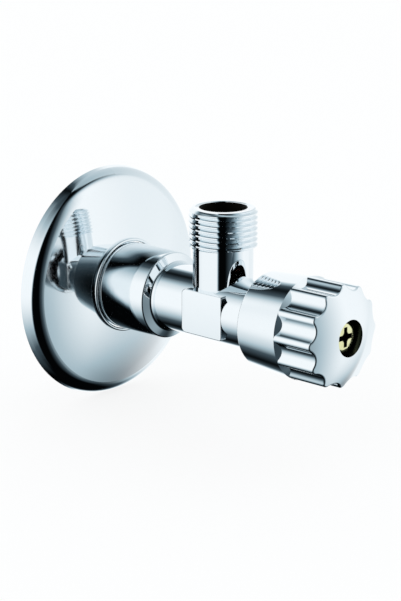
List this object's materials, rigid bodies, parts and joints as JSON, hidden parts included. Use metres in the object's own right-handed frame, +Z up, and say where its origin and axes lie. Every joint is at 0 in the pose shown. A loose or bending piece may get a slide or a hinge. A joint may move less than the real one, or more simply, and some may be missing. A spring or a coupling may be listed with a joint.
{
  "type": "angle valve",
  "caption": "Chrome-plated wall angle valve: threaded inlet behind a domed rosette, upright threaded outlet, fluted handwheel that shuts a rubber seat washer by a screw spindle",
  "frame": {"origin": "on the inlet axis in the plane of the wall, where the rosette's rear rim lies", "axes": "+X out of the wall along the spindle towards the handwheel, +Z up along the outlet, +Y to the right of someone who faces the wall"},
  "size_m": [0.0928, 0.0598, 0.0598],
  "materials": {
    "chromed_brass": "polished chrome plate on forged brass",
    "chromed_sheet": "polished chrome plate on pressed sheet",
    "chromed_wheel": "polished chrome plate on a die casting",
    "bare_brass": "turned brass",
    "screw_brass": "pale yellow brass",
    "spring_steel": "spring steel",
    "black_rubber": "matt rubber",
    "slip_plastic": "white slip ring",
    "fibre": "red fibre gasket"
  },
  "bodies": {
    "body": {"body": "chromed_brass", "rosette": "chromed_sheet", "bonnet": "bare_brass", "bonnet_gasket": "fibre", "clip_washer": "slip_plastic"},
    "piston": {"piston": "bare_brass", "seat_washer": "black_rubber", "seat_washer_plate": "bare_brass", "seat_washer_screw": "bare_brass"},
    "handwheel": {"handwheel": "chromed_wheel", "handwheel_screw": "screw_brass", "spindle": "bare_brass", "spindle_o_ring_inner": "black_rubber", "spindle_o_ring_outer": "black_rubber", "snap_ring": "spring_steel", "thrust_washer": "slip_plastic"}
  },
  "joints": [
    {"name": "handwheel_turn", "type": "hinge", "parent": "body", "child": "handwheel", "pos_m": [0.067, 0, 0], "axis": [1, 0, 0], "range_deg": [0, 1008]},
    {"name": "piston_lift", "type": "slide", "parent": "body", "child": "piston", "axis": [1, 0, 0], "range_m": [0, 0.0042]}
  ],
  "couplings": [
    {"joint": "piston_lift", "follows": "handwheel_turn", "m_per_rad": 0.00023873}
  ]
}
